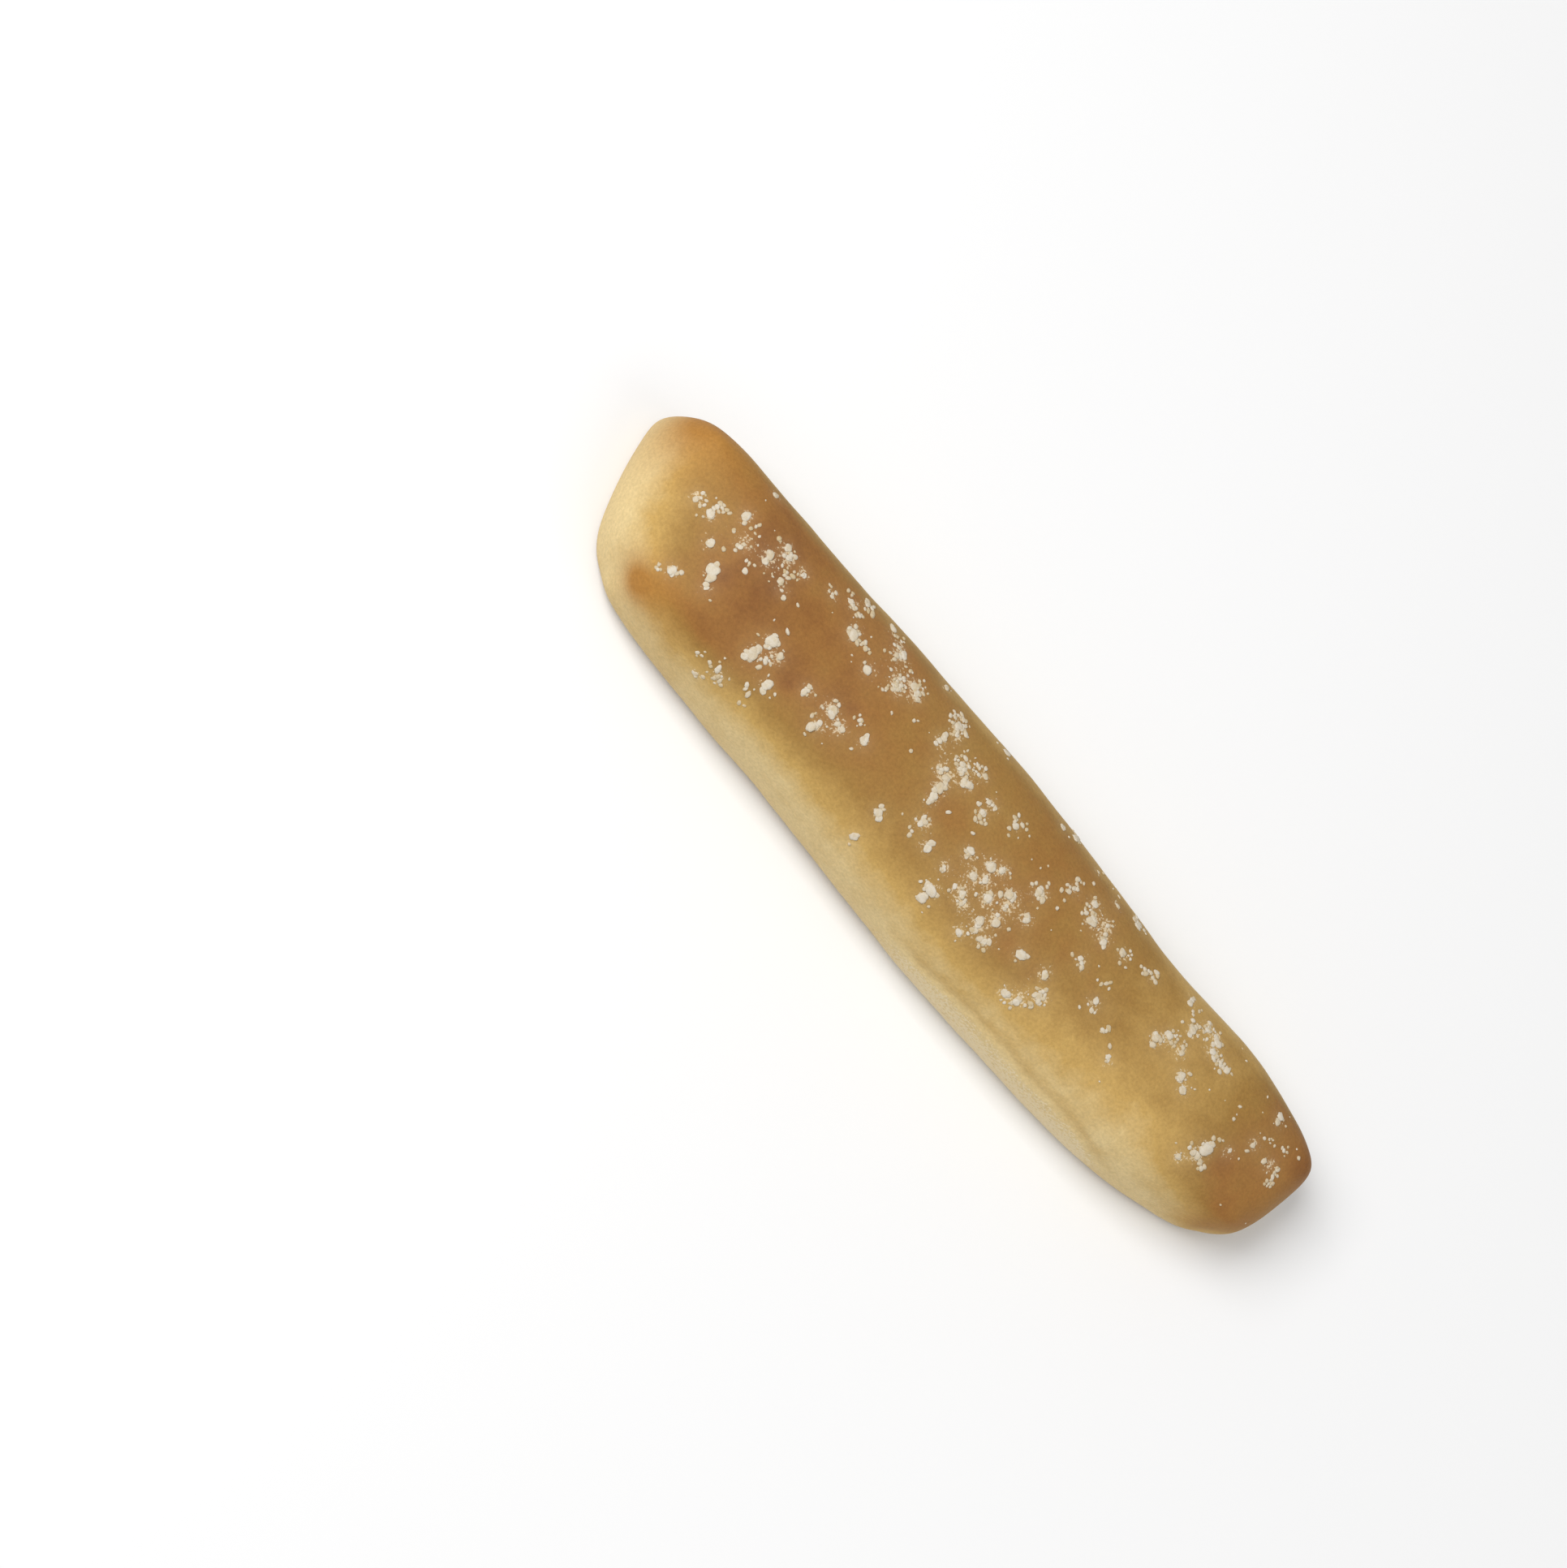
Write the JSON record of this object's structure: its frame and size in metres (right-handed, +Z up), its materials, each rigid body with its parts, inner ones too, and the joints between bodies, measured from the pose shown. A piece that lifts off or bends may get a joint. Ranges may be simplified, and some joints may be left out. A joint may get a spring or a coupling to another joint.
{
  "type": "grissini breadstick",
  "caption": "Thick rectangular-section breadstick with a nearly flat browned top, swollen pale flanks, blunt cut ends and a dusting of flour.",
  "frame": {"origin": "middle of the flat baked base, at the bottom centre of the bounding box", "axes": "+X along the strip towards its tapered end, +Y across it, +Z up through its top"},
  "size_m": [0.1546, 0.0332, 0.0215],
  "materials": {
    "crust": "matte",
    "flour": "matte"
  },
  "bodies": {
    "root": {"breadstick": "crust"}
  },
  "joints": []
}
